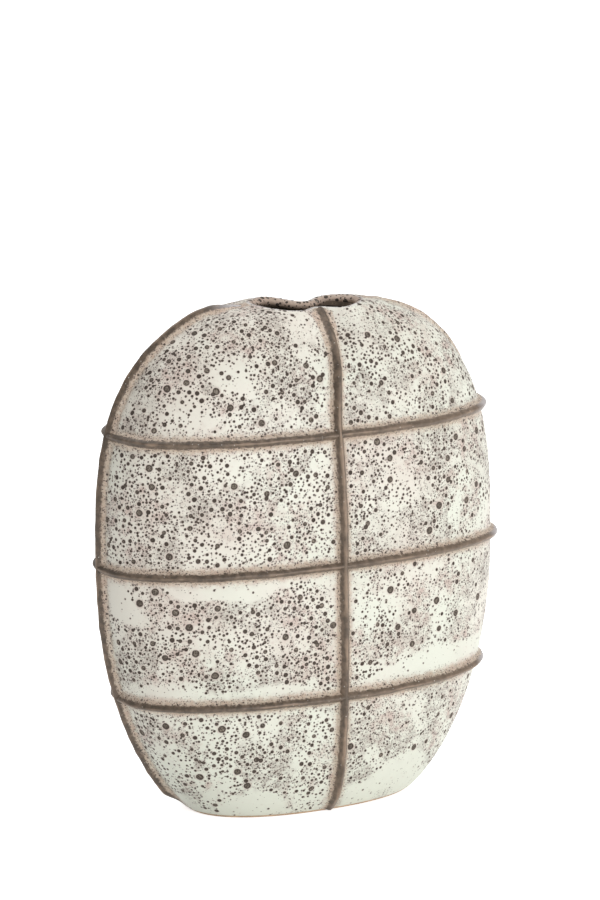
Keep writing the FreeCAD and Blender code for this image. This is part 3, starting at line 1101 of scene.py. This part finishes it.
# %% Inner walls
inner_rows = 49
inner_columns = 97
inner_skin = 2.6
inner_sink = 1.0
outline_samples = 3001


def inset_outline(size_at, thickness):
    """An outline moved inwards, square to itself: its sizes and heights."""
    heights = rim_height * np.sin(np.linspace(0.0, quarter_turn, outline_samples))
    sizes = size_at(heights)
    rise, run = np.diff(heights), np.diff(sizes)
    length = np.hypot(rise, run)
    middle_size = (sizes[:-1] + sizes[1:]) / 2 - rise / length * thickness
    middle_height = (heights[:-1] + heights[1:]) / 2 + run / length * thickness
    return middle_size, middle_height


def make_inner_wall(face):
    side = sides[face]
    wide, wide_heights = inset_outline(width_at, wall_thickness)
    deep, deep_heights = inset_outline(depth_at, wall_thickness)
    start = floor_thickness - inner_sink
    share = np.sin(np.linspace(0.0, quarter_turn, inner_rows))
    heights = start + (wide_heights[-1] - start) * share
    turns = np.linspace(-quarter_turn, quarter_turn, inner_columns)
    z = np.broadcast_to(heights[:, None], (inner_rows, inner_columns))
    across = np.sin(turns)[None, :]
    forth = np.clip(np.cos(turns), 0.0, None)[None, :]
    power = 2 / plan_power[side]
    x = shift_at(z) + np.interp(z, wide_heights, wide) * np.sign(across) * np.abs(across) ** power
    y = side * (np.interp(z, deep_heights, deep) - dent_at(x, z)) * forth ** power
    points = np.stack([x, y, z], axis=-1)
    inner = skin_from_grid(f"{face}_inner_wall", points[:, ::-1], side, inner_skin, {})
    inner.data.materials.append(inside_glaze)
    return inner


inner_walls = [(make_inner_wall(face), face) for face in sides]
print("inner walls", [inner.name for inner, _ in inner_walls])


# %% [markdown]
# ## The ribs
# A rib is a roll of clay pressed onto the wall and smoothed down on both sides, so it has a round
# crest and hollow feet that run out on the wall. Each one starts as a strip that lies exactly on
# the wall. A Geometry Nodes tree then raises the strip by the rib's profile. The same tree
# makes all sixteen ribs. A slow noise lets the crest wander, as a finger does.

# %% The rib tree
sway_size = 24 * mm
lump_size = 9 * mm
seed_stride = 3.7


def make_rib_tree():
    inputs = {label: "NodeSocketFloat" for label in ("Height", "Half Width", "Wander", "Foot")}
    tree, given, result = new_shape_tree("clay_rib", {**inputs, "Seed": "NodeSocketInt"})
    spread = named(tree, "spread")
    place = node(tree, "GeometryNodeInputPosition").outputs[0]
    seeded = node(tree, "ShaderNodeCombineXYZ", {2: product(tree, given.outputs["Seed"], seed_stride)})
    there = node(tree, "ShaderNodeVectorMath", {0: place, 1: seeded.outputs[0]}, operation="ADD").outputs[0]
    sway = waver(tree, there, sway_size, given.outputs["Wander"], 1.0)
    across = calc(tree, "ADD", named(tree, "across"), sway)
    half = product(tree, given.outputs["Half Width"], spread)
    reach = calc(tree, "MINIMUM", calc(tree, "ABSOLUTE", calc(tree, "DIVIDE", across, half)), 1.0)
    wave = calc(tree, "COSINE", product(tree, calc(tree, "POWER", reach, 0.92), math.pi))
    profile = calc(tree, "POWER", product(tree, calc(tree, "ADD", wave, 1.0), 0.5), 1.15)
    swell = between(tree, noise_at(tree, there, lump_size, 1.0), 0.88, 1.10)
    rise = product(tree, given.outputs["Height"], named(tree, "fullness"), swell)
    lifted = calc(tree, "SUBTRACT", product(tree, profile, rise), given.outputs["Foot"])
    move = product(tree, lifted, named(tree, "skin"))
    from_line = calc(tree, "DIVIDE", calc(tree, "ABSOLUTE", across), product(tree, spread, mm))
    gap = calc(tree, "SUBTRACT", from_line, product(tree, named(tree, "brown"), crest_half_width))
    marked = keep_value(tree, given.outputs["Geometry"], "gap", gap)
    moved = node(tree, "GeometryNodeSetPosition", {"Geometry": marked, "Offset": along_wall(tree, move)})
    end_shape_tree(tree, given, result, moved.outputs[0])
    return tree


rib_tree = make_rib_tree()
print("rib tree has", len(rib_tree.nodes), "nodes")


# %% Strips on the wall
top_points = 29
under_points = 5
strip_margin = 0.6
rib_across = np.linspace(-1, 1, top_points) * (rib_half_width + strip_margin)
rib_pitch = 0.8
rib_bed = 2.2
rib_wander = 1.6
rib_foot = 0.35
rib_calm = 0.05


def strip_mesh(name, base, under):
    """A closed tube of stations with a cap at each end. The caps' middles come last."""
    rings = np.concatenate([base, under], axis=1)
    stations, around = rings.shape[:2]
    index = np.arange(stations * around).reshape(stations, around)
    follow = np.roll(index, -1, axis=1)
    quads = np.stack([index[:-1], follow[:-1], follow[1:], index[1:]], axis=-1).reshape(-1, 4)
    first = stations * around
    last = first + 1
    caps = [(first, b, a) for a, b in zip(index[0], follow[0])]
    caps += [(last, a, b) for a, b in zip(index[-1], follow[-1])]
    middles = np.stack([rings[0].mean(axis=0), rings[-1].mean(axis=0)])
    vertices = np.concatenate([rings.reshape(-1, 3), middles])
    return mesh_from(name, vertices, quads, np.array(caps), len(quads))


def over_strip(stations, values, under=0.0, cap=0.0):
    """Numbers for the top, the underside and the two caps' middles of a strip."""
    top = np.broadcast_to(values, (stations, top_points))
    hidden = np.broadcast_to(under, (stations, under_points))
    return np.concatenate([np.concatenate([top, hidden], axis=1).ravel(), [cap, cap]])


def strip(name, base, up, height, seed, **along):
    """A rib from a strip: its top lies on the wall, and its underside is bedded in the clay.

    along holds values for each station: fullness is the share of the height, spread widens the
    rib, brown is the share of the brown band's width, and bare fades it to lilac below 1.
    """
    stations = len(base)
    every = top_points // (under_points - 1)
    under = (base - up * rib_bed)[:, ::-every][:, :under_points]
    mesh = strip_mesh(name, base, under)
    plain = np.ones(stations)
    paint(mesh, "skin", over_strip(stations, 1.0))
    paint(mesh, "across", over_strip(stations, rib_across * mm))
    for key in ("fullness", "bare", "brown"):
        paint(mesh, key, over_strip(stations, along.get(key, plain)[:, None]))
    spread = along.get("spread", plain)[:, None]
    paint(mesh, "spread", over_strip(stations, spread, spread, 1.0))
    paint(mesh, "calm", over_strip(stations, rib_calm, rib_calm, rib_calm))
    ups = np.concatenate([up, np.zeros((stations, under_points, 3))], axis=1).reshape(-1, 3)
    paint_direction(mesh, "wall_up", np.concatenate([ups, np.zeros((2, 3))]))
    rib = put(name, mesh)
    apply_tree(rib, rib_tree, rib_glaze, Height=height * mm, Half_Width=rib_half_width * mm,
               Wander=rib_wander * mm, Foot=rib_foot * mm, Seed=seed)
    drop_helpers(rib.data, ("skin", "wall_up", "across", "fullness", "spread", "brown"))
    return rib


def turned_out(base, away):
    """A strip and its normals, with the columns in the order that makes its faces look outwards."""
    normals = unit(np.cross(np.gradient(base, axis=0), np.gradient(base, axis=1)))
    outward = np.sum(normals * away, axis=-1, keepdims=True)
    up = normals * np.where(outward < 0, -1, 1)
    inverted = np.mean(outward) < 0
    return (base, up) if inverted else (base[:, ::-1], up[:, ::-1])


# %% Face ribs
face_rib_length = 300
foot_press_reach = 14
back_press_reach = 9


def foot_fade(z):
    """An upright rib is pressed flatter over its lowest stretch."""
    return grown(0.4, ease((z - foot_rim_height) / foot_press_reach))


def surface_at(side, x, z):
    """The wall's surface at a place across and a height."""
    power = plan_power[side]
    share = np.clip(np.abs(x - shift_at(z)) / width_at(z), 0.0, 1.0)
    y = side * (depth_at(z) - dent_at(x, z)) * (1 - share ** power) ** (1 / power)
    return np.stack([x, y, z + lift_at(x, z)], axis=-1)


def make_face_rib(face, seed):
    side = sides[face]
    top = rim_height - rib_end_gap[face]
    z = even_heights(foot_rim_height, top, int(face_rib_length / rib_pitch / coarse))
    strap = near_rim(z, strap_reach)
    spread = 1 + (strap_spread - 1) * strap
    x = face_rib_x(z)[:, None] + rib_across[None, :] * spread[:, None]
    base = surface_at(side, x, np.broadcast_to(z[:, None], x.shape))
    base, up = turned_out(base, np.array([0.0, side, 0.3]))
    fullness = (1 - (1 - strap_height / rib_height) * strap) * foot_fade(z)
    if face == "back":
        fullness = fullness * grown(0.1, ease((top - z) / back_press_reach))
    values = {"fullness": fullness, "spread": spread, "brown": 1.14 - 0.28 * strap}
    return strip(f"{face}_rib_clay", base, up, rib_height, seed, **values)


# %% Edge ribs
def seam_strip(hand, z, across):
    """Points over the seam: the front wall at negative and the back wall at positive places."""
    rows = []
    for y in across:
        side = -1 if y < 0 else 1
        power = plan_power[side]
        share = np.clip(abs(y) / depth_at(z), 0.0, 1.0)
        x = shift_at(z) + hand * width_at(z) * (1 - share ** power) ** (1 / power)
        rows.append(np.stack([x, np.full_like(z, y), z + lift_at(x, z)], axis=-1))
    return np.stack(rows, axis=1)


edge_rib_length = 330
edge_rib_end = mouth_half_length + edge_rib_end_gap
edge_samples = 8001
# The rib is pressed flatter this far from its top and from its foot.
edge_press_reach = 3
edge_foot_reach = 12
# Its brown fades where the body's half width is less than this from its size at the rib's end.
bare_reach = 16
# The right rib thickens above its foot and fades below its top: from this height, over this far.
right_low = (30, 50)
right_high = (175, 60)


def edge_rib_values(hand, z, top):
    """Fullness, bareness and brown of an edge rib. The right one runs thin at its foot and its top."""
    upper = z > widest_height
    before_end = width_at(z) - edge_rib_end
    full = np.where(upper, ease(before_end / taper_reach[hand]), 1.0)
    height = edge_rib_end_height + (rib_height - edge_rib_end_height) * full
    fullness = height / rib_height * foot_fade(z) * grown(0.2, ease((top - z) / edge_press_reach))
    fullness = fullness * grown(0.2, ease((z - foot_rim_height) / edge_foot_reach))
    bare = np.where(upper, grown(0.15, ease((before_end - 2) / bare_reach)), 1.0)
    brown = np.ones(len(z))
    if hand > 0:
        low = ease((z - right_low[0]) / right_low[1])
        high = ease((z - right_high[0]) / right_high[1])
        brown = grown(0.2, full * low * (1 - high))
        fullness = fullness * grown(0.45, low)
    return {"fullness": fullness, "bare": bare, "brown": brown}


def make_edge_rib(hand, name, seed):
    heights = np.linspace(widest_height, rim_height, edge_samples)
    top = float(heights[np.argmax(width_at(heights) < edge_rib_end)])
    z = even_heights(foot_rim_height, top, int(edge_rib_length / rib_pitch / coarse))
    base = seam_strip(hand, z, rib_across + seam_lay[hand])
    base, up = turned_out(base, np.array([hand, 0.0, 0.5]))
    return strip(name, base, up, rib_height, seed, **edge_rib_values(hand, z, top))


# %% Rungs
rung_length = 155
rung_brown = 0.92
# In degrees of turn: where the rib pales to the right, and where its tip is browner again.
pale_start, pale_run = 56, 12
tip_start, tip_run = 78, 10


def rung_bare(turns):
    """A level rib pales towards its right end, and is browner again at the tip."""
    degrees = np.degrees(turns)
    pale = ease((degrees - pale_start) / pale_run)
    tip = ease((degrees - tip_start) / tip_run)
    return 1 - 0.70 * pale * (1 - 0.6 * tip)


def make_rung(level, face, hand, name, seed):
    side = sides[face]
    turns = np.linspace(0.0, hand * quarter_turn, line_samples)
    line = wall_point(side, turns, rung_height_at(level, turns))
    turns = even_run(line, turns, int(rung_length / rib_pitch / coarse))
    middle = rung_height_at(level, turns)
    steep = np.linalg.norm(wall_point(side, turns, middle + 1) - wall_point(side, turns, middle - 1), axis=-1)
    z = middle[:, None] + rib_across[None, :] / (steep / 2)[:, None]
    base = wall_point(side, np.broadcast_to(turns[:, None], z.shape), z)
    base, up = turned_out(base, base * (1, 1, 0))
    values = {"bare": rung_bare(turns), "brown": np.full(len(turns), rung_brown)}
    return strip(name, base, up, rung_height, seed, **values)


# %% Build the ribs
hands = {"left": -1, "right": 1}
face_seed = 3
edge_seed = 8
rung_seed = 20
rung_seed_step = 3
ribs = [(make_face_rib(face, face_seed + k), f"{face}_rib") for k, face in enumerate(sides)]
for k, (hand_name, hand) in enumerate(hands.items()):
    cad_name = f"{hand_name}_edge_rib"
    ribs.append((make_edge_rib(hand, cad_name + "_clay", edge_seed + k), cad_name))
for k, level in enumerate(rung_level):
    for face in sides:
        for hand_name, hand in hands.items():
            cad_name = f"{level}_rib_{face}_{hand_name}"
            seed = rung_seed + k * rung_seed_step
            ribs.append((make_rung(level, face, hand, cad_name + "_clay", seed), cad_name))
print("ribs", len(ribs), "with", sum(len(rib.data.polygons) for rib, _ in ribs), "faces")

# %% [markdown]
# ## What each piece stands for
# Every piece rides on the CAD body. A piece that stands for a CAD node hides it, and the node
# stays in the model for collision. The floor keeps its CAD shape and gets the clay material.

# %% Ride and replace
for panel, face, row in panels:
    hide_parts(f"{face}_wall")
    if row == "mouth_row":
        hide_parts("mouth_collar")
    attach(panel, "root")
for inner, face in inner_walls:
    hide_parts(f"{face}_wall")
    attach(inner, "root")
for rib, cad_name in ribs:
    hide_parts(cad_name)
    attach(rib, "root")
floor_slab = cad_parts["floor_slab"]
floor_slab.data.materials.clear()
floor_slab.data.materials.append(bare_clay)

# %% [markdown]
# ## Floor, light and camera
# The floor is plain and pale. It looks white to the camera through Light Path, and the light
# on the vase stays at a plain level. Large soft lamps give the even light of a studio.

# %% The floor
stage_half = 6.0
white = (1, 1, 1, 1)
paper_white = (0.92, 0.92, 0.92, 1)
paper_glow = 0.72


def seen_by(tree, *kinds):
    """1 for rays of these kinds, and 0 for the others."""
    rays = node(tree, "ShaderNodeLightPath").outputs
    seen = rays[kinds[0]]
    for kind in kinds[1:]:
        seen = calc(tree, "MAXIMUM", seen, rays[kind])
    return seen


def make_stage_material():
    material, tree = new_material("stage_white")
    seen = seen_by(tree, "Is Camera Ray", "Is Glossy Ray", "Is Transmission Ray")
    paper = node(tree, "ShaderNodeBsdfDiffuse", {"Color": paper_white})
    strength = product(tree, seen, paper_glow)
    glow = node(tree, "ShaderNodeEmission", {"Color": white, "Strength": strength})
    both = node(tree, "ShaderNodeAddShader", {0: paper.outputs[0], 1: glow.outputs[0]})
    node(tree, "ShaderNodeOutputMaterial", {0: both.outputs[0]})
    return material


corners = [(x * stage_half, y * stage_half, 0) for x, y in ((-1, -1), (1, -1), (1, 1), (-1, 1))]
stage_mesh = bpy.data.meshes.new("stage_floor")
stage_mesh.from_pydata(corners, [], [(0, 1, 2, 3)])
stage_mesh.materials.append(make_stage_material())
stage_floor = put("stage_floor", stage_mesh)


# %% World
sky_strength = 0.60
world = bpy.data.worlds.new("studio")
bpy.context.scene.world = world
world.use_nodes = True
sky = world.node_tree
sky.nodes.clear()
sky_seen = seen_by(sky, "Is Camera Ray", "Is Transmission Ray")
sky_inputs = {"Color": white, "Strength": between(sky, sky_seen, sky_strength, 1.0)}
sky_light = node(sky, "ShaderNodeBackground", sky_inputs)
node(sky, "ShaderNodeOutputWorld", {0: sky_light.outputs[0]})


# %% Lamps
# For each lamp: its place, the height over the origin that it is turned to, its size and its power.
lamps = {
    "key_softbox": ((1.1, -1.3, 1.5), 0.15, 1.4, 4.0),
    "fill_softbox": ((0.35, -2.1, 0.22), 0.05, 1.3, 33.0),
    "side_softbox": ((1.9, 0.1, 0.5), 0.14, 1.0, 2.0),
    "top_softbox": ((0.1, 0.5, 1.7), 0.2, 1.2, 12.0),
}
for name, (place, aim_height, size, power) in lamps.items():
    light = bpy.data.lights.new(name, "AREA")
    light.shape = "SQUARE"
    light.size = size
    light.energy = power
    lamp = put(name, light)
    lamp.location = place
    lamp.rotation_euler = (Vector((0, 0, aim_height)) - Vector(place)).to_track_quat("-Z", "Y").to_euler()
print("lamps", list(lamps))


# %% [markdown]
# ## Camera
# The photograph was taken from the left of the front and a little above, with a long lens. The
# point `aim` on the vase's axis lands on the pixel `aim_pixel`, and the camera has a small roll.

# %% The camera
azimuth = math.radians(-27.887)
elevation = math.radians(15.196)
distance = 2.5477
focal_pixels = 4591.0
roll = math.radians(0.515)
aim_pixel = (295.8, 543.5)
picture = (600, 900)

aim = Vector((0, 0, 0.145))
level_share = math.cos(elevation)
to_camera = Vector((math.sin(azimuth) * level_share, -math.cos(azimuth) * level_share, math.sin(elevation)))
ahead = -to_camera
right = ahead.cross(Vector((0, 0, 1))).normalized()
upward = right.cross(ahead)
screen_right = right * math.cos(roll) + upward * math.sin(roll)
screen_up = upward * math.cos(roll) - right * math.sin(roll)
off_x = picture[0] / 2 - aim_pixel[0]
off_y = aim_pixel[1] - picture[1] / 2
view = (ahead * focal_pixels + screen_right * off_x + screen_up * off_y).normalized()
view_right = (screen_right - view * screen_right.dot(view)).normalized()
view_up = view_right.cross(view)
camera_data = bpy.data.cameras.new("camera")
camera_data.sensor_width = 36.0
camera_data.lens = focal_pixels / picture[1] * camera_data.sensor_width
camera = put("camera", camera_data)
turn = Matrix((view_right, view_up, -view)).transposed().to_4x4()
camera.matrix_world = Matrix.Translation(aim + to_camera * distance) @ turn
bpy.context.scene.camera = camera
bpy.context.scene.view_settings.view_transform = "Standard"
print("lens", camera_data.lens)
